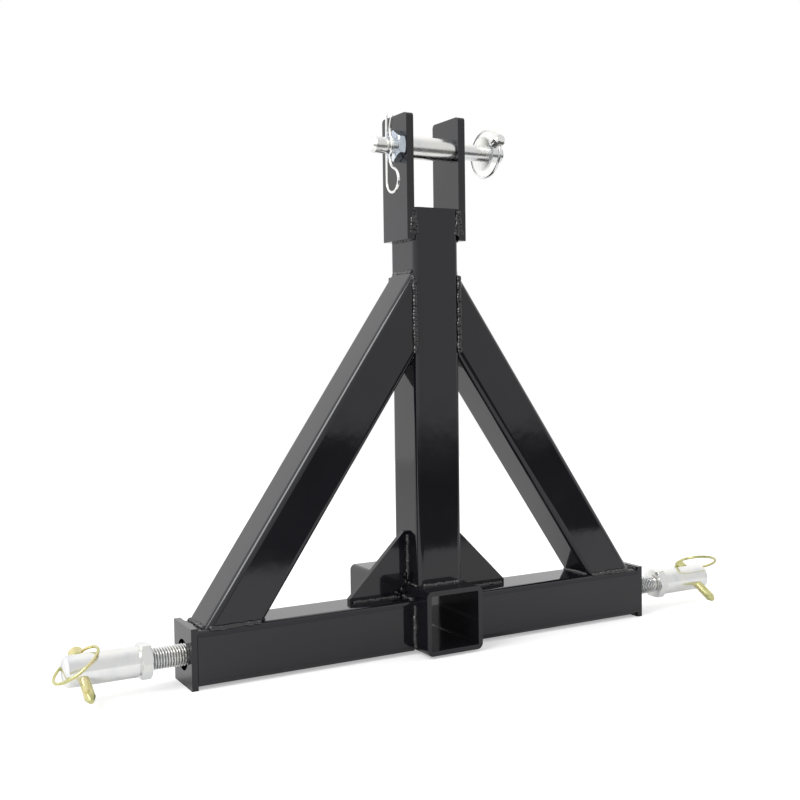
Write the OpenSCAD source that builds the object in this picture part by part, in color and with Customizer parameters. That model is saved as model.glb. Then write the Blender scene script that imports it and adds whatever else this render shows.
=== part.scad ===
// Three-point trailer hitch: a welded A-frame of square tube with a receiver socket,
// two screw-in lower pins and a clevis with a top link pin.
// X runs across the hitch, +Y is the long end of the receiver, +Z is up.
// The origin is on the underside of the receiver, below the crossbar's centre line.

/* [Frame tubes] */
// Outer width of the crossbar and mast tubes
tube_w = 50.8; // [46:0.1:54]
// Wall of the crossbar, mast and brace tubes
tube_wall = 4.8; // [3:0.1:5.5]
// Outer corner radius of the tubes
tube_corner = 6; // [5.6:0.1:8]
// Outer width of the brace tubes
brace_w = 47.6; // [40:0.1:48]
// Width of the hitch over its end plates
frame_w = 520; // [480:1:600]
// Height of the mast's top over the underside of the receiver
mast_top = 437; // [425:1:480]
// How far the mast is set back from the crossbar's centre line
mast_back = 2.4; // [0:0.1:6]
// Place of a brace's centre line on the crossbar, from the hitch's end
brace_foot_inset = 42.9; // [38:0.1:70]
// Drop from the mast's top to where a brace's centre line meets the mast
brace_head_drop = 104.4; // [90:0.1:130]

/* [Receiver tube] */
// Outer width of the receiver tube
receiver_w = 63.5; // [60:0.1:70]
// Wall of the receiver tube
receiver_wall = 4.8; // [3:0.1:6]
// Reach of the receiver in front of the crossbar's centre line
receiver_front = 49.3; // [40:0.1:80]
// Reach of the receiver behind the crossbar's centre line
receiver_rear = 117; // [60:1:160]

/* [Plates] */
// Thickness of an end plate
end_plate_t = 6; // [4:0.5:10]
// Depth of an end plate, front to back
end_plate_depth = 49; // [44:0.5:54]
// How far an end plate stands over the crossbar, above and below
end_plate_lip = 2.6; // [2.4:0.1:4]
// Hole in an end plate, wider than the nut's thread
end_plate_hole = 28.5; // [24:0.5:29]
// Thickness of an ear
ear_t = 8; // [6:0.5:12]
// Depth of an ear, front to back
ear_depth = 48.8; // [44:0.1:50]
// How far an ear laps down over the side of the mast
ear_lap = 31.4; // [22:0.1:37]
// How far an ear stands over the mast's top
ear_rise = 91; // [80:0.5:110]
// Radius of an ear's upper corners
ear_corner = 4; // [1:0.5:8]
// Thickness of a gusset
gusset_t = 6; // [4:0.5:10]
// Reach of a gusset along the crossbar and up the mast
gusset_reach = 65.5; // [50:0.5:80]
// Blunt end at each tip of a gusset
gusset_nose = 4; // [2:0.5:8]
// Radius of the weld beads
weld_r = 3.6; // [2.5:0.1:4]

/* [Lower pins] */
// Diameter of a lower pin
lower_pin_d = 28; // [26:0.1:28.7]
// Length of a lower pin's plain body
lower_pin_len = 65; // [60:0.5:80]
// Diameter of a lower pin's threaded stud
stud_d = 20; // [16:0.1:22]
// Length of the threaded stud
stud_len = 57; // [54:0.5:70]
// Stud that shows between the left end plate and its collar
left_stud_out = 31; // [20:0.5:36]
// Stud that shows between the right end plate and its collar
right_stud_out = 37; // [20:0.5:40]
// Width of a pin's hexagon collar across its flats
collar_flats = 30; // [29:0.1:36]
// Thickness of a pin's hexagon collar
collar_t = 10; // [6:0.5:14]
// Width of a weld nut across its flats
weld_nut_flats = 30; // [28:0.1:32]
// Thickness of a weld nut
weld_nut_t = 16; // [12:0.5:18]
// Chamfer on the end of each pin
pin_chamfer = 2.5; // [1:0.1:4]
// Distance of a lower linchpin's hole from the pin's free end
lower_hole_inset = 15; // [14:0.5:22]

/* [Top pin] */
// Diameter of the top pin
top_pin_d = 16; // [15:0.1:19]
// Drop from the ears' upper ends to the top pin's axis
top_pin_drop = 31.6; // [26:0.1:36]
// Place of the top pin's axis along Y
top_pin_y = -9; // [-10:0.1:0]
// Left end of the top pin, from the hitch's centre
top_pin_left = 64.6; // [60:0.1:75]
// Right end of the top pin, from the hitch's centre
top_pin_right = 86.5; // [85:0.1:100]
// Outer diameter of the sleeve on the top pin
sleeve_d = 22.5; // [21:0.1:26]
// Width of the top pin's nut across its flats
top_nut_flats = 27; // [24:0.1:30]
// Thickness of the top pin's nut
top_nut_t = 7.5; // [6:0.1:9]
// Outer diameter of the washer, which the top linchpin's head rests on
washer_d = 34; // [30:0.5:36]
// Thickness of the washer
washer_t = 3.5; // [2:0.1:4]
// Place of the hairpin clip, from the hitch's centre
clip_x = 47.5; // [44:0.5:55]
// Place of the top linchpin, from the hitch's centre
top_linchpin_x = 69; // [67:0.5:78]

/* [Linchpins and clip] */
// Shank diameter of a lower linchpin
lower_shank_d = 9.5; // [8:0.1:10]
// Shank diameter of the top linchpin
top_shank_d = 6.5; // [6:0.1:7.5]
// Length of a lower linchpin's point past the pin
lower_point_len = 26; // [20:0.5:27]
// Length of the top linchpin's point past the pin
top_point_len = 12; // [8:0.5:13]
// Radius of a linchpin's head
head_r = 6.5; // [6:0.1:7]
// Height of a linchpin's head
head_h = 11; // [9:0.5:13]
// Wire diameter of the linchpins' rings
ring_wire = 3; // [2:0.1:3.4]
// Radius of a lower ring, at the middle of its wire
lower_ring_r = 22.5; // [21:0.1:26]
// Radius of the top ring, at the middle of its wire
top_ring_r = 24; // [23:0.1:26]
// Wire diameter of the hairpin clip
clip_wire = 2.8; // [2:0.1:3]
// Radius of the clip's round eye, at the middle of its wire
clip_eye_r = 11.5; // [10:0.1:13]
// Radius of the clip's bow round the pin, at the middle of its wire
clip_bow_r = 11.5; // [10.8:0.1:13]
// Radius of the clip's two waists, at the middle of its wire
clip_waist_r = 11; // [9:0.5:14]
// Distance of a waist from the clip's straight leg
clip_waist_gap = 7; // [6:0.1:8]

/* [Fits] */
// Running clearance of a shaft in its hole, on the radius
run_gap = 0.08; // [0.03:0.01:0.1]
// Clearance between pieces that move past each other
seat_gap = 0.3; // [0.2:0.05:0.5]

/* [Hidden] */
$fn = 64;

axis_z = tube_w / 2;
half_tube = tube_w / 2;
half_receiver = receiver_w / 2;
plate_outer = frame_w / 2;
plate_inner = plate_outer - end_plate_t;
mast_front = mast_back - half_tube;
mast_rear = mast_back + half_tube;
brace_foot_x = plate_outer - brace_foot_inset;
brace_head_z = mast_top - brace_head_drop;
brace_angle = atan2(brace_head_z - tube_w, brace_foot_x - half_tube);
brace_front = mast_back - brace_w / 2;
brace_rear = mast_back + brace_w / 2;
brace_cut_x = brace_w / 2 / sin(brace_angle);
brace_cut_z = brace_w / 2 / cos(brace_angle);
ear_outer = half_tube + ear_t;
ear_bottom = mast_top - ear_lap;
ear_top = mast_top + ear_rise;
top_pin_z = ear_top - top_pin_drop;
top_hole_r = top_pin_d / 2 + run_gap;
lower_seat = lower_pin_d / 2 + seat_gap;
top_seat = washer_d / 2 + seat_gap;
past = 1;
far = 1000;
weld_inset = tube_corner + 1.5;
wire_sides = 12;
ring_steps = 44;
clip_step = 9;

// Attitude of a linchpin: tilt of its head from the front over the top, turn about its
// own axis, and swing of its ring from the shank
left_pose = [27, 37, -22];
right_pose = [29, -20, -53];
top_pose = [155, 90, -4];

powder_black = [0.03, 0.03, 0.035];
zinc = [0.78, 0.79, 0.8];
yellow_zinc = [0.72, 0.6, 0.3];

module rounded_square(w, r) {
    square([w, w - 2 * r], center = true);
    square([w - 2 * r, w], center = true);
    for (x = [-1, 1], y = [-1, 1])
        translate([x * (w / 2 - r), y * (w / 2 - r)])
            circle(r = r);
}

module tube_section(w, wall, r) {
    difference() {
        rounded_square(w, r);
        rounded_square(w - 2 * wall, r - wall);
    }
}

// side is -1 on the left and 1 on the right
module on_side(side) {
    if (side < 0)
        mirror([1, 0, 0])
            children();
    else
        children();
}

module along_y(front, rear) {
    translate([0, rear, 0])
        rotate([90, 0, 0])
            linear_extrude(rear - front)
                children();
}

module along_x(from, to) {
    translate([from, 0, 0])
        rotate([90, 0, 90])
            linear_extrude(to - from)
                children();
}

// Outer solids, whole, which the weld beads are trimmed against
module receiver_block() {
    translate([0, 0, half_receiver])
        along_y(-receiver_front, receiver_rear)
            rounded_square(receiver_w, tube_corner);
}

module crossbar_block() {
    translate([0, 0, axis_z])
        along_x(half_receiver, plate_inner)
            rounded_square(tube_w, tube_corner);
}

module mast_block() {
    translate([0, mast_back, receiver_w])
        linear_extrude(mast_top - receiver_w)
            rounded_square(tube_w, tube_corner);
}

module brace_run() {
    intersection() {
        translate([brace_foot_x, mast_back, tube_w])
            rotate([0, brace_angle - 90, 0])
                translate([0, 0, -tube_w])
                    linear_extrude(frame_w)
                        children();
        translate([half_tube, -far / 2, tube_w])
            cube([far, far, far]);
    }
}

module brace_block() {
    brace_run()
        rounded_square(brace_w, tube_corner);
}

module ear_block() {
    front = mast_front;
    height = ear_top - ear_bottom;
    translate([0, front, ear_bottom])
        along_x(half_tube, ear_outer) {
            square([ear_depth, height - ear_corner]);
            translate([ear_corner, 0])
                square([ear_depth - 2 * ear_corner, height]);
            for (y = [ear_corner, ear_depth - ear_corner])
                translate([y, height - ear_corner])
                    circle(r = ear_corner);
        }
}

module gusset_block() {
    tip_x = half_tube + gusset_reach;
    tip_z = tube_w + gusset_reach;
    translate([0, mast_back + gusset_t / 2, 0])
        rotate([90, 0, 0])
            linear_extrude(gusset_t)
                polygon([
                    [half_tube, receiver_w], [half_receiver, receiver_w], [half_receiver, tube_w],
                    [tip_x, tube_w], [tip_x, tube_w + gusset_nose],
                    [half_tube + gusset_nose, tip_z], [half_tube, tip_z]
                ]);
}

module end_plate_block() {
    translate([plate_inner, -end_plate_depth / 2, -end_plate_lip])
        cube([end_plate_t, end_plate_depth, tube_w + 2 * end_plate_lip]);
}

// A straight run of weld bead between two points along one axis
module bead(from, to, r) {
    run = to - from;
    turn = run.x != 0 ? [0, 90, 0] : run.y != 0 ? [-90, 0, 0] : [0, 0, 0];
    translate(from)
        rotate(turn)
            cylinder(r = r, h = norm(run), $fn = 24);
}

module receiver_tube() {
    color(powder_black)
        translate([0, 0, half_receiver])
            along_y(-receiver_front, receiver_rear)
                tube_section(receiver_w, receiver_wall, tube_corner);
}

module crossbar(side) {
    color(powder_black)
        on_side(side)
            translate([0, 0, axis_z])
                along_x(half_receiver, plate_inner)
                    tube_section(tube_w, tube_wall, tube_corner);
}

module end_plate(side) {
    color(powder_black)
        on_side(side)
            difference() {
                end_plate_block();
                translate([plate_inner - past, 0, axis_z])
                    rotate([0, 90, 0])
                        cylinder(d = end_plate_hole, h = end_plate_t + 2 * past);
            }
}

module mast() {
    color(powder_black)
        translate([0, mast_back, receiver_w])
            linear_extrude(mast_top - receiver_w)
                tube_section(tube_w, tube_wall, tube_corner);
}

module brace(side) {
    color(powder_black)
        on_side(side)
            brace_run()
                tube_section(brace_w, tube_wall, tube_corner);
}

module ear(side) {
    color(powder_black)
        on_side(side)
            difference() {
                ear_block();
                translate([half_tube - past, top_pin_y, top_pin_z])
                    rotate([0, 90, 0])
                        cylinder(r = top_hole_r, h = ear_t + 2 * past);
            }
}

module gusset(side) {
    color(powder_black)
        on_side(side)
            gusset_block();
}

module weld_nut(side) {
    color(powder_black)
        on_side(side)
            translate([plate_inner - weld_nut_t, 0, axis_z])
                rotate([0, 90, 0])
                    difference() {
                        rotate([0, 0, 30])
                            cylinder(d = weld_nut_flats / cos(30), h = weld_nut_t, $fn = 6);
                        translate([0, 0, -past])
                            cylinder(r = stud_d / 2 + run_gap, h = weld_nut_t + 2 * past);
                    }
}

module receiver_welds() {
    low = weld_inset;
    high = tube_w - weld_inset;
    color(powder_black)
        for (side = [-1, 1])
            on_side(side)
                difference() {
                    union() {
                        for (y = [-half_tube, half_tube])
                            bead([half_receiver, y, low], [half_receiver, y, high], weld_r);
                        bead([half_receiver, low - half_tube, tube_w], [half_receiver, high - half_tube, tube_w], weld_r);
                    }
                    receiver_block();
                    crossbar_block();
                    gusset_block();
                }
}

module mast_foot_welds() {
    half_run = half_tube - weld_inset;
    color(powder_black)
        difference() {
            union() {
                for (y = [mast_front, mast_rear])
                    bead([-half_run, y, receiver_w], [half_run, y, receiver_w], weld_r);
                for (x = [-half_tube, half_tube])
                    bead([x, mast_back - half_run, receiver_w], [x, mast_back + half_run, receiver_w], weld_r);
            }
            receiver_block();
            mast_block();
            gusset_block();
            mirror([1, 0, 0])
                gusset_block();
        }
}

module brace_head_welds() {
    top = brace_head_z + brace_cut_z;
    bottom = brace_head_z - brace_cut_z;
    color(powder_black)
        for (side = [-1, 1])
            on_side(side)
                difference() {
                    union() {
                        for (y = [brace_front, brace_rear])
                            bead([half_tube, y, bottom + weld_inset], [half_tube, y, top - weld_inset], weld_r);
                        for (z = [bottom, top])
                            bead([half_tube, brace_front + weld_inset, z], [half_tube, brace_rear - weld_inset, z], weld_r);
                    }
                    mast_block();
                    brace_block();
                }
}

// Bead across a brace's foot
module brace_foot_bead(x) {
    bead([x, brace_front + weld_inset, tube_w], [x, brace_rear - weld_inset, tube_w], weld_r);
}

module brace_foot_welds() {
    inner = brace_foot_x - brace_cut_x;
    outer = brace_foot_x + brace_cut_x;
    color(powder_black)
        for (side = [-1, 1])
            on_side(side)
                difference() {
                    union() {
                        for (y = [brace_front, brace_rear])
                            bead([inner + weld_inset, y, tube_w], [outer - weld_inset, y, tube_w], weld_r);
                        for (x = [inner, outer])
                            brace_foot_bead(x);
                    }
                    crossbar_block();
                    brace_block();
                }
}

module ear_welds() {
    color(powder_black)
        for (side = [-1, 1])
            on_side(side)
                difference() {
                    union() {
                        for (y = [mast_front + weld_r / 2, mast_front + ear_depth - weld_r / 2])
                            bead([half_tube, y, ear_bottom + weld_inset], [half_tube, y, mast_top - weld_inset], weld_r);
                        bead([half_tube, mast_front + weld_inset, ear_bottom],
                             [half_tube, mast_front + ear_depth - weld_inset, ear_bottom], weld_r);
                    }
                    mast_block();
                    ear_block();
                }
}

module gusset_welds() {
    start_x = half_receiver + weld_r;
    end_x = half_tube + gusset_reach - weld_r;
    start_z = receiver_w + weld_r;
    end_z = tube_w + gusset_reach - weld_r;
    color(powder_black)
        for (side = [-1, 1])
            on_side(side)
                difference() {
                    for (y = [mast_back - gusset_t / 2, mast_back + gusset_t / 2]) {
                        bead([start_x, y, tube_w], [end_x, y, tube_w], weld_r);
                        bead([half_tube, y, start_z], [half_tube, y, end_z], weld_r);
                    }
                    gusset_block();
                    crossbar_block();
                    mast_block();
                    receiver_block();
                }
}

module end_plate_welds() {
    half_run = half_tube - weld_inset;
    bead_r = min(weld_r, end_plate_lip - seat_gap);
    color(powder_black)
        for (side = [-1, 1])
            on_side(side)
                difference() {
                    for (z = [0, tube_w])
                        bead([plate_inner, -half_run, z], [plate_inner, half_run, z], bead_r);
                    crossbar_block();
                    end_plate_block();
                    brace_foot_bead(brace_foot_x + brace_cut_x);
                }
}

// A round pin along +X from x = 0, with a chamfered end
module pin_body(d, len, chamfer) {
    rotate([0, 90, 0])
        rotate_extrude()
            polygon([[0, 0], [d / 2, 0], [d / 2, len - chamfer], [d / 2 - chamfer, len], [0, len]]);
}

// Puts a linchpin, drawn upright round the pin's axis, at its place and attitude
module linchpin_place(x, y, z, pose) {
    translate([x, y, z])
        rotate([pose[0] - 90, 0, 0])
            rotate([0, 0, -pose[1]])
                children();
}

// seat is the height of the head's underside over the pin's axis
module linchpin(seat, pin_d, shank_d, point_len) {
    tip = -pin_d / 2 - point_len;
    crown = 2;
    difference() {
        rotate_extrude()
            polygon([
                [0, tip], [shank_d / 4, tip], [shank_d / 2, tip + shank_d / 2],
                [shank_d / 2, seat], [head_r - crown / 2, seat], [head_r, seat + crown / 2],
                [head_r, seat + head_h - crown], [head_r - crown, seat + head_h], [0, seat + head_h]
            ]);
        translate([-head_r - past, 0, seat + head_h / 2])
            rotate([0, 90, 0])
                cylinder(r = ring_wire / 2 + run_gap, h = 2 * (head_r + past));
    }
}

// Points along an arc, from one angle to another
function arc_points(centre, r, from, to, count) = [
    for (i = [0:count])
        let (a = from + (to - from) * i / count)
            centre + r * [cos(a), sin(a)]
];

// Direction of a flat path at one of its points
function path_run(path, i, closed) =
    let (
        n = len(path),
        before = path[closed ? (i + n - 1) % n : max(i - 1, 0)],
        after = path[closed ? (i + 1) % n : min(i + 1, n - 1)]
    )
    (after - before) / norm(after - before);

// Round wire along a flat path in the XY plane
module wire(path, d, closed = false) {
    n = len(path);
    spans = closed ? n : n - 1;
    points = [
        for (i = [0:n - 1], k = [0:wire_sides - 1])
            let (
                run = path_run(path, i, closed),
                across = d / 2 * cos(360 * k / wire_sides),
                up = d / 2 * sin(360 * k / wire_sides)
            )
                [path[i].x - run.y * across, path[i].y + run.x * across, up]
    ];
    walls = [
        for (i = [0:spans - 1], k = [0:wire_sides - 1])
            let (
                here = i * wire_sides,
                next = (i + 1) % n * wire_sides,
                beside = (k + 1) % wire_sides
            )
                [here + k, next + k, next + beside, here + beside]
    ];
    first_end = [for (k = [0:wire_sides - 1]) k];
    last_end = [for (k = [wire_sides - 1:-1:0]) (n - 1) * wire_sides + k];
    polyhedron(points, closed ? walls : concat(walls, [first_end, last_end]), convexity = 6);
}

// Spring ring with a straight stretch that lies in the linchpin's head
module linchpin_ring(seat, ring_r, swing) {
    half_chord = head_r + ring_wire / 3;
    opening = asin(half_chord / ring_r);
    hinge_z = seat + head_h / 2;
    centre = [0, -ring_r * cos(opening)];
    translate([0, 0, hinge_z])
        rotate([swing + 90, 0, 0])
            wire(arc_points(centre, ring_r, 90 + opening, 450 - opening, ring_steps), ring_wire, closed = true);
}

// pose is mirrored with the pin on the left side
module lower_pin(side, stud_out, pose) {
    collar_x = plate_outer + stud_out;
    body_x = collar_x + collar_t;
    hole_x = body_x + lower_pin_len - lower_hole_inset;
    color(zinc)
        difference() {
            on_side(side)
                translate([0, 0, axis_z]) {
                    translate([collar_x - stud_len, 0, 0])
                        rotate([0, 90, 0])
                            cylinder(d = stud_d, h = stud_len + past);
                    translate([collar_x, 0, 0])
                        rotate([0, 90, 0])
                            rotate([0, 0, 30])
                                cylinder(d = collar_flats / cos(30), h = collar_t, $fn = 6);
                    translate([body_x - past, 0, 0])
                        pin_body(lower_pin_d, lower_pin_len + past, pin_chamfer);
                }
            linchpin_place(side * hole_x, 0, axis_z, pose)
                cylinder(r = lower_shank_d / 2 + run_gap, h = 2 * lower_pin_d, center = true);
        }
}

module lower_linchpin(side, stud_out, pose) {
    hole_x = plate_outer + stud_out + collar_t + lower_pin_len - lower_hole_inset;
    color(yellow_zinc)
        linchpin_place(side * hole_x, 0, axis_z, pose)
            linchpin(lower_seat, lower_pin_d, lower_shank_d, lower_point_len);
}

module lower_ring(side, stud_out, pose) {
    hole_x = plate_outer + stud_out + collar_t + lower_pin_len - lower_hole_inset;
    color(yellow_zinc)
        linchpin_place(side * hole_x, 0, axis_z, pose)
            linchpin_ring(lower_seat, lower_ring_r, pose[2]);
}

module top_pin() {
    color(zinc)
        difference() {
            translate([0, top_pin_y, top_pin_z]) {
                pin_body(top_pin_d, top_pin_right, pin_chamfer);
                mirror([1, 0, 0])
                    pin_body(top_pin_d, top_pin_left, pin_chamfer);
            }
            translate([-clip_x, top_pin_y, top_pin_z])
                cylinder(r = clip_wire / 2 + run_gap, h = 2 * top_pin_d, center = true);
            linchpin_place(top_linchpin_x, top_pin_y, top_pin_z, top_pose)
                cylinder(r = top_shank_d / 2 + run_gap, h = 2 * top_pin_d, center = true);
        }
}

module top_nut() {
    nut_x = ear_outer + seat_gap;
    color(zinc)
        translate([-nut_x - top_nut_t, top_pin_y, top_pin_z])
            rotate([0, 90, 0])
                difference() {
                    cylinder(d = top_nut_flats / cos(30), h = top_nut_t, $fn = 6);
                    translate([0, 0, -past])
                        cylinder(r = top_hole_r, h = top_nut_t + 2 * past);
                }
}

module top_washer() {
    washer_x = top_linchpin_x - top_shank_d / 2 - seat_gap - washer_t;
    color(zinc)
        translate([washer_x, top_pin_y, top_pin_z])
            rotate([0, 90, 0])
                difference() {
                    cylinder(d = washer_d, h = washer_t);
                    translate([0, 0, -past])
                        cylinder(r = top_hole_r, h = washer_t + 2 * past);
                }
}

module top_sleeve() {
    sleeve_len = tube_w - 2 * seat_gap;
    color(zinc)
        translate([-sleeve_len / 2, top_pin_y, top_pin_z])
            rotate([0, 90, 0])
                difference() {
                    cylinder(d = sleeve_d, h = sleeve_len);
                    translate([0, 0, -past])
                        cylinder(r = top_hole_r, h = sleeve_len + 2 * past);
                }
}

// The clip is drawn flat: x is the distance from the straight leg, y the height over the pin's axis
module clip_wire_path() {
    waist_x = clip_waist_gap + clip_waist_r;
    waist_y = sqrt(pow(clip_bow_r + clip_waist_r, 2) - pow(waist_x, 2));
    bow_half = atan2(waist_y, waist_x);
    eye_drop = sqrt(pow(clip_waist_r + clip_eye_r, 2) - pow(waist_x - clip_eye_r, 2));
    eye_y = -waist_y - eye_drop;
    eye_end = atan2(eye_drop, waist_x - clip_eye_r);
    leg_top = 2 * top_pin_d;
    flare = 20;
    flare_len = 11;
    flare_end = [waist_x - clip_waist_r * cos(flare), waist_y + clip_waist_r * sin(flare)]
        + flare_len * [sin(flare), cos(flare)];
    wire(concat(
        [[0, leg_top]],
        arc_points([clip_eye_r, eye_y], clip_eye_r, 180, 360 + eye_end, 20),
        arc_points([waist_x, -waist_y], clip_waist_r, 180 + eye_end - clip_step, 180 - bow_half, 8),
        arc_points([0, 0], clip_bow_r, clip_step - bow_half, bow_half, 6),
        arc_points([waist_x, waist_y], clip_waist_r, 180 + bow_half - clip_step, 180 - flare, 6),
        [flare_end]
    ), clip_wire);
}

module hairpin_clip() {
    color(zinc)
        translate([-clip_x, top_pin_y, top_pin_z])
            rotate([90, 0, -90])
                clip_wire_path();
}

module top_linchpin() {
    color(zinc)
        linchpin_place(top_linchpin_x, top_pin_y, top_pin_z, top_pose)
            linchpin(top_seat, top_pin_d, top_shank_d, top_point_len);
}

module top_ring() {
    color(zinc)
        linchpin_place(top_linchpin_x, top_pin_y, top_pin_z, top_pose)
            linchpin_ring(top_seat, top_ring_r, top_pose[2]);
}

receiver_tube();
crossbar(-1);  // crossbar_left
crossbar(1);  // crossbar_right
end_plate(-1);  // end_plate_left
end_plate(1);  // end_plate_right
mast();
brace(-1);  // brace_left
brace(1);  // brace_right
ear(-1);  // ear_left
ear(1);  // ear_right
gusset(-1);  // gusset_left
gusset(1);  // gusset_right
weld_nut(-1);  // weld_nut_left
weld_nut(1);  // weld_nut_right
receiver_welds();
mast_foot_welds();
brace_head_welds();
brace_foot_welds();
ear_welds();
gusset_welds();
end_plate_welds();
lower_pin(-1, left_stud_out, left_pose);  // lower_pin_left
lower_linchpin(-1, left_stud_out, left_pose);  // lower_linchpin_left
lower_ring(-1, left_stud_out, left_pose);  // lower_ring_left
lower_pin(1, right_stud_out, right_pose);  // lower_pin_right
lower_linchpin(1, right_stud_out, right_pose);  // lower_linchpin_right
lower_ring(1, right_stud_out, right_pose);  // lower_ring_right
top_pin();
top_nut();
top_washer();
top_sleeve();
hairpin_clip();
top_linchpin();
top_ring();
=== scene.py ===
import math

import bpy
from mathutils import Matrix, Vector, noise


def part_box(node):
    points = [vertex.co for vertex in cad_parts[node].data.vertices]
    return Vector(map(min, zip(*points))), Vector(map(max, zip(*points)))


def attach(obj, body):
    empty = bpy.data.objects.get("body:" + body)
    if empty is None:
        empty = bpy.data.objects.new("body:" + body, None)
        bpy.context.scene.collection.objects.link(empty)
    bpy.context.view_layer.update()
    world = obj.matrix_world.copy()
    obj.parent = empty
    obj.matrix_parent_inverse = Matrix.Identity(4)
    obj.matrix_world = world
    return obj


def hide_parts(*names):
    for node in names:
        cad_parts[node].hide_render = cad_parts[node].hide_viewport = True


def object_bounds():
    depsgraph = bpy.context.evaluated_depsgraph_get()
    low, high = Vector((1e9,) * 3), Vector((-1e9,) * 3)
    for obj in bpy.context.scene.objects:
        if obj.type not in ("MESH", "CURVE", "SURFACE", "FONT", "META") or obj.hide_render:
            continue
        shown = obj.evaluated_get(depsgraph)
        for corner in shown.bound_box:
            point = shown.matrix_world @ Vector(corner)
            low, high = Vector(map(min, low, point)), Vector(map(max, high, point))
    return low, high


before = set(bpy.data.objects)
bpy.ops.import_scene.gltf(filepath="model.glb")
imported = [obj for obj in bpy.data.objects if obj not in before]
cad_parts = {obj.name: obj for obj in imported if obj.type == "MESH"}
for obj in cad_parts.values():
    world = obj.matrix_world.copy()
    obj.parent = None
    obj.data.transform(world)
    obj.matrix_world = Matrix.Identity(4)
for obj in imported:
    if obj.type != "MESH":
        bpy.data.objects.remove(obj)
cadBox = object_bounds()
print("frame loaded:", len(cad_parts), "nodes")

scene = bpy.context.scene
scene.view_settings.view_transform = "Standard"
mm = 0.001

# Camera, found from the corners and edges of the welded frame in the photograph

cameraSettings = {
    "place": (-0.5653, -0.9598, 0.3006),
    "heading": 29.08,      # degrees from +Y towards +X
    "pitch": -2.74,
    "roll": -0.78,
    "focalPixels": 1103.8,
    "imagePixels": 800,
    "sensor": 36.0,
    "clip": (0.01, 100),
}


def addCamera(s):
    heading, pitch, roll = (math.radians(s[k]) for k in ("heading", "pitch", "roll"))
    ahead = Vector((math.sin(heading), math.cos(heading), 0))
    forward = ahead * math.cos(pitch) + Vector((0, 0, math.sin(pitch)))
    right = Vector((math.cos(heading), -math.sin(heading), 0))
    up = right.cross(forward)
    rolledRight = math.cos(roll) * right + math.sin(roll) * up
    rolledUp = -math.sin(roll) * right + math.cos(roll) * up
    data = bpy.data.cameras.new("photoCamera")
    data.sensor_width = s["sensor"]
    data.lens = s["focalPixels"] * s["sensor"] / s["imagePixels"]
    data.clip_start, data.clip_end = s["clip"]
    camera = bpy.data.objects.new("photoCamera", data)
    axes = Matrix((rolledRight, rolledUp, -forward)).transposed()
    camera.matrix_world = Matrix.Translation(s["place"]) @ axes.to_4x4()
    scene.collection.objects.link(camera)
    scene.camera = camera


addCamera(cameraSettings)
print("camera set")

# Node helpers


def addNode(tree, kind, **values):
    node = tree.nodes.new(kind)
    for key, value in values.items():
        setattr(node, key, value)
    return node


def newMaterial(name):
    material = bpy.data.materials.new(name)
    material.use_nodes = True
    tree = material.node_tree
    return material, tree, tree.nodes["Principled BSDF"]


def objectPoint(tree, scale=(1, 1, 1)):
    place = addNode(tree, "ShaderNodeTexCoord")
    stretch = addNode(tree, "ShaderNodeMapping")
    stretch.inputs["Scale"].default_value = scale
    tree.links.new(place.outputs["Object"], stretch.inputs["Vector"])
    return stretch.outputs["Vector"]


def noiseFactor(tree, point, scale, detail):
    texture = addNode(tree, "ShaderNodeTexNoise")
    texture.inputs["Scale"].default_value = scale
    texture.inputs["Detail"].default_value = detail
    tree.links.new(point, texture.inputs["Vector"])
    return texture.outputs["Fac"]


def spread(tree, factor, low, high, fromLow, fromHigh):
    node = addNode(tree, "ShaderNodeMapRange")
    node.inputs["From Min"].default_value = fromLow
    node.inputs["From Max"].default_value = fromHigh
    node.inputs["To Min"].default_value = low
    node.inputs["To Max"].default_value = high
    tree.links.new(factor, node.inputs["Value"])
    return node.outputs["Result"]


def maths(tree, operation, a, b):
    node = addNode(tree, "ShaderNodeMath", operation=operation)
    for socket, value in zip(node.inputs, (a, b)):
        if isinstance(value, (int, float)):
            socket.default_value = value
        else:
            tree.links.new(value, socket)
    return node.outputs["Value"]


def colourRamp(tree, factor, stops):
    ramp = addNode(tree, "ShaderNodeValToRGB")
    band = ramp.color_ramp
    while len(band.elements) < len(stops):
        band.elements.new(0.5)
    for element, (place, colour) in zip(band.elements, stops):
        element.position = place
        element.color = (*colour, 1)
    tree.links.new(factor, ramp.inputs["Fac"])
    return ramp.outputs["Color"]


def toneFrom(tree, point, s):
    return colourRamp(tree, noiseFactor(tree, point, *s["toneNoise"]), s["tones"])


def hazeFrom(tree, point, s):
    return spread(tree, noiseFactor(tree, point, *s["hazeNoise"]), *s["haze"], *s["hazeReach"])


def addBump(tree, shader, point, s, kind, under=None):
    bump = addNode(tree, "ShaderNodeBump")
    bump.inputs["Strength"].default_value = s[kind + "Strength"]
    bump.inputs["Distance"].default_value = s[kind + "Depth"]
    tree.links.new(noiseFactor(tree, point, *s[kind + "Noise"]), bump.inputs["Height"])
    if under is not None:
        tree.links.new(under.outputs["Normal"], bump.inputs["Normal"])
    tree.links.new(bump.outputs["Normal"], shader.inputs["Normal"])
    return bump


# Studio: a white world that turns dark low in front, past the edge of a pale floor.
# Each turn below is the stretch of a direction's x, y or z over which one level changes to the next.

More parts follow.
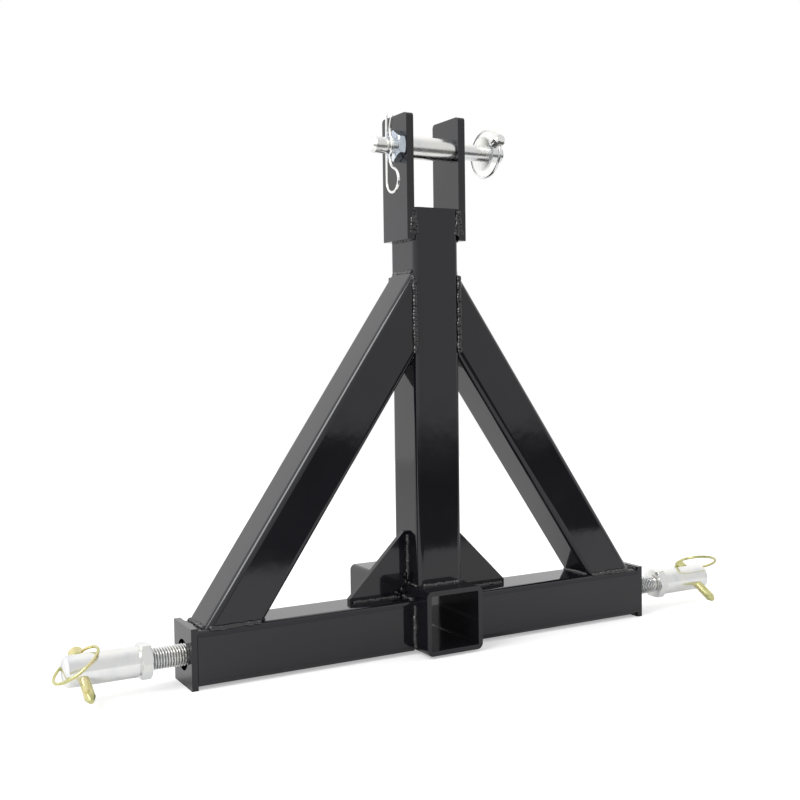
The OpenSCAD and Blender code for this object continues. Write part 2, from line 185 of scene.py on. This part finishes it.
studioSettings = {
    "front": 0.74,
    "back": 1.05,
    "backTurn": (-0.5, 0.35),
    "leftGain": 0.22,
    "leftTurn": (-0.9, 0.0),
    "lowFront": 0.12,
    "frontTurn": (-0.1, 0.1),
    "lowTurn": (-0.084, -0.074),
    "floorColour": (0.8, 0.8, 0.8),
    "floorRoughness": 0.9,
    "floorSpecular": 0.1,
    "floorGlow": 0.4,
    "floorCorners": ((-2.6, -0.5), (2.6, 1.6)),
    "floorDrop": 0.05 * mm,
    "lampPlace": (-1.55, -0.4, 1.53),
    "lampAim": (0, 0, 0.2),
    "lampSize": 1.0,
    "lampPower": 20,
}


def addWorld(s):
    world = bpy.data.worlds.new("studio")
    scene.world = world
    world.use_nodes = True
    tree = world.node_tree
    direction = addNode(tree, "ShaderNodeTexCoord")
    split = addNode(tree, "ShaderNodeSeparateXYZ")
    tree.links.new(direction.outputs["Generated"], split.inputs["Vector"])
    x, y, z = (split.outputs[k] for k in ("X", "Y", "Z"))
    wall = spread(tree, y, s["front"], s["back"], *s["backTurn"])
    wall = maths(tree, "ADD", wall, spread(tree, x, s["leftGain"], 0.0, *s["leftTurn"]))
    inFront = spread(tree, y, 1.0, 0.0, *s["frontTurn"])
    under = spread(tree, z, 1.0, 0.0, *s["lowTurn"])
    level = addNode(tree, "ShaderNodeMix")
    tree.links.new(maths(tree, "MULTIPLY", inFront, under), level.inputs["Factor"])
    tree.links.new(wall, level.inputs["A"])
    level.inputs["B"].default_value = s["lowFront"]
    seen = addNode(tree, "ShaderNodeLightPath")
    shown = addNode(tree, "ShaderNodeMix")
    tree.links.new(seen.outputs["Is Camera Ray"], shown.inputs["Factor"])
    tree.links.new(level.outputs["Result"], shown.inputs["A"])
    shown.inputs["B"].default_value = 1.0
    tree.links.new(shown.outputs["Result"], tree.nodes["Background"].inputs["Color"])


def addFloor(s):
    (left, front), (right, back) = s["floorCorners"]
    low = cadBox[0][2] - s["floorDrop"]
    mesh = bpy.data.meshes.new("floor")
    corners = [(left, front, low), (right, front, low), (right, back, low), (left, back, low)]
    mesh.from_pydata(corners, [], [(0, 1, 2, 3)])
    floor = bpy.data.objects.new("floor", mesh)
    scene.collection.objects.link(floor)
    material, tree, shader = newMaterial("paleFloor")
    shader.inputs["Base Color"].default_value = (*s["floorColour"], 1)
    shader.inputs["Roughness"].default_value = s["floorRoughness"]
    shader.inputs["Specular IOR Level"].default_value = s["floorSpecular"]
    seen = addNode(tree, "ShaderNodeLightPath")
    glow = addNode(tree, "ShaderNodeEmission")
    strength = maths(tree, "MULTIPLY", seen.outputs["Is Camera Ray"], s["floorGlow"])
    tree.links.new(strength, glow.inputs["Strength"])
    both = addNode(tree, "ShaderNodeAddShader")
    tree.links.new(shader.outputs["BSDF"], both.inputs[0])
    tree.links.new(glow.outputs["Emission"], both.inputs[1])
    tree.links.new(both.outputs["Shader"], tree.nodes["Material Output"].inputs["Surface"])
    mesh.materials.append(material)


def addLamp(s):
    data = bpy.data.lights.new("softBox", "AREA")
    data.size = s["lampSize"]
    data.energy = s["lampPower"]
    lamp = bpy.data.objects.new("softBox", data)
    lamp.location = s["lampPlace"]
    lamp.rotation_euler = (Vector(s["lampAim"]) - lamp.location).to_track_quat("-Z", "Y").to_euler()
    scene.collection.objects.link(lamp)


addWorld(studioSettings)
addFloor(studioSettings)
addLamp(studioSettings)
print("studio built")

# Finishes. Each noise is a scale and a detail, each haze the roughness from its low to its high.

powderLook = {
    "toneNoise": (9, 4),
    "tones": [(0.3, (0.0042, 0.0042, 0.0064)), (0.7, (0.0075, 0.0075, 0.0108))],
    "hazeNoise": (26, 5),
    "haze": (0.05, 0.12),
    "hazeReach": (0.35, 0.7),
    "ior": 1.54,
    "waveNoise": (42, 2),
    "waveStrength": 0.07,
    "waveDepth": 1.2 * mm,
    "peelNoise": (520, 2),
    "peelStrength": 0.06,
    "peelDepth": 0.12 * mm,
}


def blackPowderCoat(s):
    material, tree, shader = newMaterial("blackPowderCoat")
    point = objectPoint(tree)
    tree.links.new(toneFrom(tree, point, s), shader.inputs["Base Color"])
    tree.links.new(hazeFrom(tree, point, s), shader.inputs["Roughness"])
    shader.inputs["IOR"].default_value = s["ior"]
    waves = addBump(tree, shader, point, s, "wave")
    addBump(tree, shader, point, s, "peel", waves)
    return material


weldLook = {
    "toneNoise": (160, 3),
    "tones": [(0.3, (0.004, 0.004, 0.005)), (0.75, (0.012, 0.012, 0.014))],
    "hazeNoise": (300, 2),
    "haze": (0.03, 0.1),
    "hazeReach": (0.3, 0.7),
    "ior": 1.7,
    "grainNoise": (450, 2),
    "grainStrength": 0.14,
    "grainDepth": 0.25 * mm,
}


def weldPaint(s):
    material, tree, shader = newMaterial("weldPaint")
    point = objectPoint(tree)
    tree.links.new(toneFrom(tree, point, s), shader.inputs["Base Color"])
    tree.links.new(hazeFrom(tree, point, s), shader.inputs["Roughness"])
    shader.inputs["IOR"].default_value = s["ior"]
    addBump(tree, shader, point, s, "grain")
    return material


plainLook = {
    "toneNoise": (70, 5),
    "tones": [(0.25, (0.76, 0.78, 0.8)), (0.5, (0.88, 0.88, 0.87)), (0.75, (0.9, 0.89, 0.82))],
    "hazeNoise": (90, 3),
    "haze": (0.12, 0.22),
    "hazeReach": (0.3, 0.7),
    "grainNoise": (900, 4),
    "grainStretch": (1, 1, 1),
    "grainStrength": 0.05,
    "grainDepth": 0.2 * mm,
    "shadeGrooves": False,      # whether a groove's depth darkens the colour as painted shade
}
turnedLook = dict(
    plainLook, haze=(0.2, 0.3),
    grainNoise=(1600, 4), grainStretch=(1, 0.02, 0.02), grainStrength=0.16)
threadedLook = dict(turnedLook, haze=(0.16, 0.26), shadeGrooves=True)
# the nut's darker, bluish tones are painted reflection and shade held in its colour; their noise spread is
# random tone
nutLook = dict(
    plainLook, haze=(0.1, 0.2),
    tones=[(0.25, (0.4, 0.46, 0.54)), (0.5, (0.56, 0.62, 0.7)), (0.75, (0.8, 0.83, 0.86))])


def brightZinc(name, s):
    material, tree, shader = newMaterial(name)
    point = objectPoint(tree)
    colour = toneFrom(tree, point, s)
    # painted shade: the colour is scaled down towards the thread's roots by a per-point level stored on the
    # mesh
    if s["shadeGrooves"]:
        level = addNode(tree, "ShaderNodeAttribute", attribute_name="paintedShadeLevel")
        darker = addNode(tree, "ShaderNodeVectorMath", operation="SCALE")
        tree.links.new(colour, darker.inputs[0])
        tree.links.new(level.outputs["Fac"], darker.inputs["Scale"])
        colour = darker.outputs["Vector"]
    tree.links.new(colour, shader.inputs["Base Color"])
    shader.inputs["Metallic"].default_value = 1.0
    tree.links.new(hazeFrom(tree, point, s), shader.inputs["Roughness"])
    addBump(tree, shader, objectPoint(tree, s["grainStretch"]), s, "grain")
    return material


goldLook = {
    "toneNoise": (85, 4),
    "tones": [
        (0.25, (0.4, 0.44, 0.18)), (0.48, (0.64, 0.62, 0.3)),
        (0.64, (0.74, 0.66, 0.36)), (0.8, (0.68, 0.5, 0.38)),
    ],
    "hazeNoise": (200, 3),
    "haze": (0.16, 0.34),
    "hazeReach": (0.3, 0.7),
    "grainNoise": (700, 3),
    "grainStrength": 0.12,
    "grainDepth": 0.15 * mm,
}


def yellowZinc(s):
    material, tree, shader = newMaterial("yellowZinc")
    point = objectPoint(tree)
    tree.links.new(toneFrom(tree, point, s), shader.inputs["Base Color"])
    shader.inputs["Metallic"].default_value = 1.0
    tree.links.new(hazeFrom(tree, point, s), shader.inputs["Roughness"])
    addBump(tree, shader, point, s, "grain")
    return material


powderCoat = blackPowderCoat(powderLook)
weldCoat = weldPaint(weldLook)
turnedZinc = brightZinc("turnedZinc", turnedLook)
threadedZinc = brightZinc("threadedZinc", threadedLook)
nutZinc = brightZinc("nutZinc", nutLook)
plainZinc = brightZinc("plainZinc", plainLook)
goldZinc = yellowZinc(goldLook)
print("finishes made")

# Carried-over nodes: their finish, and a fine bevel on what was sawn, sheared or turned

finishOf = [
    (powderCoat, [
        "receiver_tube", "crossbar_left", "crossbar_right", "end_plate_left", "end_plate_right", "mast",
        "brace_left", "brace_right", "ear_left", "ear_right", "gusset_left", "gusset_right",
        "weld_nut_left", "weld_nut_right",
    ]),
    (plainZinc, ["hairpin_clip", "top_linchpin", "top_ring"]),
    (turnedZinc, ["top_pin", "top_washer", "top_sleeve"]),
    (goldZinc, ["lower_linchpin_left", "lower_ring_left", "lower_linchpin_right", "lower_ring_right"]),
]
bevelLook = {"segments": 3, "sharperThan": 50}
bevelWidths = {
    "end_plate_left": 0.7 * mm, "end_plate_right": 0.7 * mm, "ear_left": 0.9 * mm, "ear_right": 0.9 * mm,
    "gusset_left": 0.7 * mm, "gusset_right": 0.7 * mm, "top_washer": 0.4 * mm, "top_sleeve": 0.6 * mm,
}


def dress(nodeName, material):
    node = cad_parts[nodeName]
    if not node.material_slots:
        node.data.materials.append(material)
    for each in node.material_slots:
        each.material = material
    if nodeName in bevelWidths:
        bevel = node.modifiers.new("edge", "BEVEL")
        bevel.width = bevelWidths[nodeName]
        bevel.segments = bevelLook["segments"]
        bevel.limit_method = "ANGLE"
        bevel.angle_limit = math.radians(bevelLook["sharperThan"])


wireLook = {
    "nodes": ["hairpin_clip", "top_ring", "lower_ring_left", "lower_ring_right"],
    "mergeWithin": 0.02 * mm,
    "levels": 2,
}


def addRounding(s):
    group = bpy.data.node_groups.new("roundWire", "GeometryNodeTree")
    group.interface.new_socket("Geometry", in_out="INPUT", socket_type="NodeSocketGeometry")
    group.interface.new_socket("Geometry", in_out="OUTPUT", socket_type="NodeSocketGeometry")
    kinds = ("NodeGroupInput", "GeometryNodeMergeByDistance", "GeometryNodeSubdivisionSurface",
             "GeometryNodeSetShadeSmooth", "NodeGroupOutput")
    chain = [group.nodes.new(kind) for kind in kinds]
    chain[1].inputs["Distance"].default_value = s["mergeWithin"]
    chain[2].inputs["Level"].default_value = s["levels"]
    for near, after in zip(chain, chain[1:]):
        source = near.outputs.get("Mesh") or near.outputs.get("Geometry")
        target = after.inputs.get("Mesh") or after.inputs.get("Geometry")
        group.links.new(source, target)
    for nodeName in s["nodes"]:
        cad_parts[nodeName].modifiers.new("round", "NODES").node_group = group


addRounding(wireLook)
for material, nodeNames in finishOf:
    for nodeName in nodeNames:
        dress(nodeName, material)
print("nodes dressed")

# Mesh helpers

weldSharp = 38           # degrees between faces from which an edge stays sharp
machinedSharp = 30


def makePiece(name, points, faces, material, body, replaced, sharp, paintedShadeLevel=None):
    mesh = bpy.data.meshes.new(name)
    mesh.from_pydata(points, [], faces)
    # the optional per-point level is painted shade, darker in the thread's roots
    if paintedShadeLevel:
        mesh.attributes.new("paintedShadeLevel", "FLOAT", "POINT").data.foreach_set("value", paintedShadeLevel)
    mesh.validate()
    mesh.polygons.foreach_set("use_smooth", [True] * len(mesh.polygons))
    mesh.set_sharp_from_angle(angle=math.radians(sharp))
    mesh.materials.append(material)
    piece = bpy.data.objects.new(name, mesh)
    scene.collection.objects.link(piece)
    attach(piece, body)
    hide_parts(replaced)


class MeshParts:
    def __init__(self):
        self.points = []
        self.faces = []

    def add(self, points, faces):
        start = len(self.points)
        self.points += points
        self.faces += [tuple(start + i for i in face) for face in faces]


def onCircle(x, r, angle):
    return Vector((x, r * math.cos(angle), r * math.sin(angle)))


def ringFaces(rings, sides):
    faces = []
    for i in range(rings - 1):
        for k in range(sides):
            near, beside = i * sides + k, i * sides + (k + 1) % sides
            faces.append((near, beside, beside + sides, near + sides))
    faces.append(tuple(reversed(range(sides))))
    faces.append(tuple((rings - 1) * sides + k for k in range(sides)))
    return faces


# Weld beads, laid along the seams of the frame. Rows and layers keep one noise apart from another.

beadLook = {
    "radius": 2.7 * mm,
    "thinnest": 0.05 * mm,
    "ripplePitch": 3.6 * mm,
    "rippleDepth": 0.24,
    "rippleSpan": 1.5,         # a ripple's arc, in its own radii
    "rippleLead": 0.5,         # how much of that arc lies before its top
    "rippleCut": 0.98,         # under 1 keeps the arc's end from standing upright
    "crescent": 1.2 * mm,      # how far each ripple bows along the bead
    "stagger": 1.6 * mm,       # how far a ripple strays from its pitch
    "wobble": 0.9 * mm,
    "wobbleRate": 190,
    "wobbleLayers": (0.3, 7.7),
    "lumps": 0.42,
    "lumpRate": 130,
    "lumpRow": 1.7,
    "lumpLayer": 5.3,
    "grain": 0.03,
    "grainRate": 700,
    "grainRow": 1.3,
    "grainLayer": 3.1,
    "step": 0.4 * mm,
    "fewestRings": 6,
    "sides": 18,
    "endTaper": 2.0 * mm,
}


def waver(x, rate, row, layer):
    return noise.noise(Vector((x * rate, row, layer)))


def rippleHeight(phase, look):
    place = look["rippleSpan"] * phase - look["rippleLead"]
    return math.sqrt(max(0.0, 1 - place ** 2 * look["rippleCut"]))


def addBead(parts, start, end, outward, seed, scale, look):
    outward = outward.normalized()
    along = (end - start).normalized()
    across = along.cross(outward)
    length = (end - start).length
    rings = max(look["fewestRings"], int(length / look["step"]))
    radius = look["radius"] * scale
    grainLayer = seed + look["grainLayer"]
    points = []
    for i in range(rings + 1):
        x = length * i / rings
        edge = min(x, length - x) / look["endTaper"]
        swell = math.sqrt(max(0.0, 1 - (1 - min(1.0, edge)) ** 2))
        rise, shift = (waver(x, look["wobbleRate"], seed, layer) for layer in look["wobbleLayers"])
        heart = start + along * x + (outward * rise + across * shift) * look["wobble"]
        lump = look["lumps"] * waver(x, look["lumpRate"], seed * look["lumpRow"], look["lumpLayer"])
        for k in range(look["sides"]):
            angle = 2 * math.pi * k / look["sides"]
            bow = look["crescent"] * (1 - math.cos(angle)) / 2
            phase = ((x + bow + look["stagger"] * rise) / look["ripplePitch"]) % 1.0
            grain = look["grain"] * waver(x, look["grainRate"], angle * look["grainRow"], grainLayer)
            r = radius * swell * (1 - look["rippleDepth"] * (1 - rippleHeight(phase, look)) + grain + lump)
            outline = outward * math.cos(angle) + across * math.sin(angle)
            points.append(heart + outline * max(r, look["thinnest"]))
    parts.add(points, ringFaces(rings + 1, look["sides"]))


def boxCorners(nodeName):
    low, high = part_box(nodeName)
    return Vector(low), Vector(high)


crossLow, crossHigh = boxCorners("crossbar_right")
receiverHigh = boxCorners("receiver_tube")[1]
mastLow, mastHigh = boxCorners("mast")
braceLow, braceHigh = boxCorners("brace_right")
earLow, earHigh = boxCorners("ear_right")
gussetLow, gussetHigh = boxCorners("gusset_right")
plateLow = boxCorners("end_plate_right")[0]
braceSlope = math.atan2(braceHigh.z - braceLow.z, braceHigh.x - braceLow.x)
braceWidth = braceHigh.y - braceLow.y
braceHeadLow = braceHigh.z - braceWidth / math.cos(braceSlope)
braceFootInner = braceHigh.x - braceWidth / math.sin(braceSlope)
inset = 3.5 * mm      # how far a run stops short of its seam's ends
flush = 0.8 * mm      # how far a thin run sinks into the piece it closes
thinRun = 0.7
plateRun = 0.62


# A run names its side, its two ends, the way it faces, the seed of its lumps and its share of the radius
def beadPiece(name, node, lay):
    parts = MeshParts()

    def run(side, start, end, outward, seed, scale=1.0):
        mirror = Vector((side, 1, 1))
        start, end, outward = (mirror * Vector(each) for each in (start, end, outward))
        addBead(parts, start, end, outward, seed + side, scale, beadLook)

    for side in (-1, 1):
        lay(side, run)
    makePiece(name, parts.points, parts.faces, weldCoat, "frame", node, weldSharp)


def layReceiver(side, run):
    x = receiverHigh.x
    for y, way in ((crossLow.y, -1), (crossHigh.y, 1)):
        run(side, (x, y, crossLow.z + inset), (x, y, crossHigh.z - inset), (1, way, 0), 11 + way)
    run(side, (x, crossLow.y + inset, crossHigh.z), (x, crossHigh.y - inset, crossHigh.z), (1, 0, 1), 17)


def layMastFoot(side, run):
    x, z = mastHigh.x, receiverHigh.z
    reach = x - inset
    if side > 0:
        run(side, (-reach, mastLow.y, z), (reach, mastLow.y, z), (0, -1, 1), 23)
        run(side, (-reach, mastHigh.y, z), (reach, mastHigh.y, z), (0, 1, 1), 29)
    run(side, (x, mastLow.y + inset, z), (x, mastHigh.y - inset, z), (1, 0, 1), 31)


def layBraceHead(side, run):
    x = mastHigh.x
    for y, way in ((braceLow.y, -1), (braceHigh.y, 1)):
        run(side, (x, y, braceHeadLow + inset), (x, y, braceHigh.z - inset), (1, way, 0), 37 + way)
    for z, way in ((braceHeadLow, -1), (braceHigh.z, 1)):
        z -= way * flush
        run(side, (x, braceLow.y + inset, z), (x, braceHigh.y - inset, z), (1, 0, way), 43 + way, thinRun)


def layBraceFoot(side, run):
    z = braceLow.z
    for y, way in ((braceLow.y, -1), (braceHigh.y, 1)):
        run(side, (braceFootInner + inset, y, z), (braceHigh.x - inset, y, z), (0, way, 1), 53 + way)
    for x, way in ((braceFootInner, -1), (braceHigh.x, 1)):
        run(side, (x, braceLow.y + inset, z), (x, braceHigh.y - inset, z), (way, 0, 1), 59 + way)


earRuns = {
    "spreadOut": 3.6 * mm,                # half the width of the V at its foot
    "closeIn": 0.5 * mm,                  # and at its top
    "leans": ((-1, 0.7), (1, 0.75)),      # side of the V and size of its run
    "frontSink": 1.2 * mm,
    "foot": 5 * mm,
    "top": 1 * mm,
    "fillFoot": 4 * mm,
    "fillTop": 9 * mm,
    "fillSize": 0.9,
}


def layEars(side, run):
    s = earRuns
    x = mastHigh.x
    backSink = beadLook["radius"] / 2
    for y, way in ((mastLow.y + s["frontSink"], -1), (earHigh.y - backSink, 1)):
        for lean, size in s["leans"]:
            foot = (x + lean * s["spreadOut"], y, earLow.z + s["foot"])
            top = (x + lean * s["closeIn"], y, mastHigh.z - s["top"])
            run(side, foot, top, (0, way, 0), 67 + way + 5 * lean, size)
        foot, top = (x, y, earLow.z + s["fillFoot"]), (x, y, mastHigh.z - s["fillTop"])
        run(side, foot, top, (0, way, 0), 71 + way, s["fillSize"])
    z = earLow.z + flush
    run(side, (x, earLow.y + inset, z), (x, earHigh.y - inset, z), (1, 0, -1), 73, thinRun)


# Lumps where mast, gusset and crossbar meet: place out from the mast, place up from the bar, reach, size
hubRuns = [
    (2 * mm, 3 * mm, 9 * mm, 1.25), (9 * mm, 1 * mm, 8 * mm, 1.1),
    (-1 * mm, 11 * mm, 7 * mm, 1.15), (1 * mm, 18 * mm, 5 * mm, 1.0),
]
hubLift = 5 * mm
hubBulge = 1.5 * mm


def layGussets(side, run):
    gap = beadLook["radius"]
    wall, bar = mastHigh.x, crossHigh.z
    for y, way in ((gussetLow.y, -1), (gussetHigh.y, 1)):
        run(side, (receiverHigh.x + gap, y, bar), (gussetHigh.x - gap, y, bar), (0, way, 1), 79 + way)
        run(side, (wall, y, receiverHigh.z + gap), (wall, y, gussetHigh.z - gap), (1, way, 0), 89 + way)
        for i, (out, up, reach, size) in enumerate(hubRuns):
            start = (wall + out, y, bar + up)
            end = (wall + out + reach, y + way * hubBulge, bar + up + hubLift)
            run(side, start, end, (0, way, 1), 131 + 3 * i + way, size)


def layEndPlates(side, run):
    x = plateLow.x
    for z, way in ((crossLow.z, -1), (crossHigh.z, 1)):
        run(side, (x, crossLow.y + inset, z), (x, crossHigh.y - inset, z), (-1, 0, way), 97 + way, plateRun)


beadPiece("receiverWelds", "receiver_welds", layReceiver)
beadPiece("mastFootWelds", "mast_foot_welds", layMastFoot)
beadPiece("braceHeadWelds", "brace_head_welds", layBraceHead)
beadPiece("braceFootWelds", "brace_foot_welds", layBraceFoot)
beadPiece("earWelds", "ear_welds", layEars)
beadPiece("gussetWelds", "gusset_welds", layGussets)
beadPiece("endPlateWelds", "end_plate_welds", layEndPlates)
print("weld beads laid")

# Lower pins: threaded stud, hexagon collar and turned body, drawn along +X and mirrored for the left

lowerPin = {
    "studRadius": 10 * mm,
    "threadDepth": 1.35 * mm,
    "threadPitch": 2.5 * mm,
    "threadStep": 0.2 * mm,
    "flankGain": 1.35,             # over 1 leaves a flat on each crest
    "rootCut": 0.1,                # and this one in each root
    "lastFade": 0.25,
    "studLength": 57 * mm,
    "collarFlats": 30 * mm,
    "collarThickness": 10 * mm,
    "bodyRadius": 14 * mm,
    "neck": [(0, 1.2 * mm), (0.8 * mm, 1.2 * mm), (1.6 * mm, 0.15 * mm), (2.2 * mm, 0)],      # place, cut
    "chamfer": 2.5 * mm,
    "chamferEase": 0.3 * mm,
    "turns": 24,
    "sides": 72,
    # painted shade: the colour level left at the bottom of each thread root
    "rootShade": 0.42,
}
hexagonLook = {"steps": 48, "bite": 1.03, "slope": 1.9}


def threadRings(start, s):
    length, pitch, depth, sides = s["studLength"], s["threadPitch"], s["threadDepth"], s["sides"]
    rings = int(length / s["threadStep"])
    points = []
    for i in range(rings + 1):
        x = start + length * i / rings
        fade = min(1.0, (x - start) / pitch, (start + length - x) / (2 * pitch) + s["lastFade"])
        for k in range(sides):
            phase = (x / pitch + k / sides) % 1.0
            ridge = min(1.0, max(0.0, s["flankGain"] * (1 - abs(2 * phase - 1)) - s["rootCut"]))
            r = s["studRadius"] - depth + depth * ridge * max(0.0, fade)
            points.append(onCircle(x, r, 2 * math.pi * k / sides))
    return points, ringFaces(rings + 1, sides)


def turnedRings(profile, sides):
    points = [onCircle(x, r, 2 * math.pi * k / sides) for x, r in profile for k in range(sides)]
    return points, ringFaces(len(profile), sides)


def hexagonRings(start, thickness, flats, sides, turn=0.0):
    steps, bite, slope = (hexagonLook[k] for k in ("steps", "bite", "slope"))
    points = []
    for i in range(steps + 1):
        x = thickness * i / steps
        cone = flats / 2 * bite + slope * min(x, thickness - x)
        for k in range(sides):
            angle = 2 * math.pi * k / sides
            offFlat = (angle - turn) % (math.pi / 3) - math.pi / 6
            points.append(onCircle(start + x, min(flats / 2 / math.cos(offFlat), cone), angle))
    return points, ringFaces(steps + 1, sides)


def bodyProfile(body, outer, s):
    radius, ease = s["bodyRadius"], s["chamferEase"]
    profile = [(body + place, radius - cut) for place, cut in s["neck"]]
    start = profile[-1][0]
    plain = outer - s["chamfer"] - start
    profile += [(start + plain * (i + 1) / s["turns"], radius) for i in range(s["turns"])]
    return profile + [(outer - ease, radius - s["chamfer"] + ease), (outer, radius - s["chamfer"] - ease)]


def buildLowerPin(name, node, side, s):
    low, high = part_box(node)
    outer = high[0] if side > 0 else -low[0]
    axisY, axisZ = (low[1] + high[1]) / 2, (low[2] + high[2]) / 2
    inner = outer - (high[0] - low[0])
    collar = inner + s["studLength"]
    body = collar + s["collarThickness"]
    root = s["studRadius"] - s["threadDepth"]
    parts = MeshParts()
    parts.add(*threadRings(inner, s))
    threadPoints = len(parts.points)
    parts.add(*hexagonRings(collar, s["collarThickness"], s["collarFlats"], s["sides"]))
    parts.add(*turnedRings(bodyProfile(body, outer, s), s["sides"]))
    # painted shade: the thread's colour darkens from its crests down to its roots
    depths = [(math.hypot(p.y, p.z) - root) / s["threadDepth"] for p in parts.points[:threadPoints]]
    paintedShadeLevel = [s["rootShade"] + (1 - s["rootShade"]) * depth for depth in depths]
    paintedShadeLevel += [1.0] * (len(parts.points) - threadPoints)
    points = [Vector((side * p.x, axisY + p.y, axisZ + p.z)) for p in parts.points]
    faces = parts.faces if side > 0 else [tuple(reversed(face)) for face in parts.faces]
    makePiece(name, points, faces, threadedZinc, node, node, machinedSharp, paintedShadeLevel)


buildLowerPin("lowerPinLeft", "lower_pin_left", -1, lowerPin)
buildLowerPin("lowerPinRight", "lower_pin_right", 1, lowerPin)
print("lower pins turned")

# Hexagon nut on the top pin

topNut = {"flats": 27 * mm, "sides": 72, "turn": math.pi / 6}


def buildTopNut(s):
    low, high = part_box("top_nut")
    axisY, axisZ = (low[1] + high[1]) / 2, (low[2] + high[2]) / 2
    points, faces = hexagonRings(low[0], high[0] - low[0], s["flats"], s["sides"], s["turn"])
    points = [Vector((p.x, axisY + p.y, axisZ + p.z)) for p in points]
    makePiece("topNut", points, faces, nutZinc, "top_pin", "top_nut", machinedSharp)


buildTopNut(topNut)
print("top nut cut")

print("all pieces made")
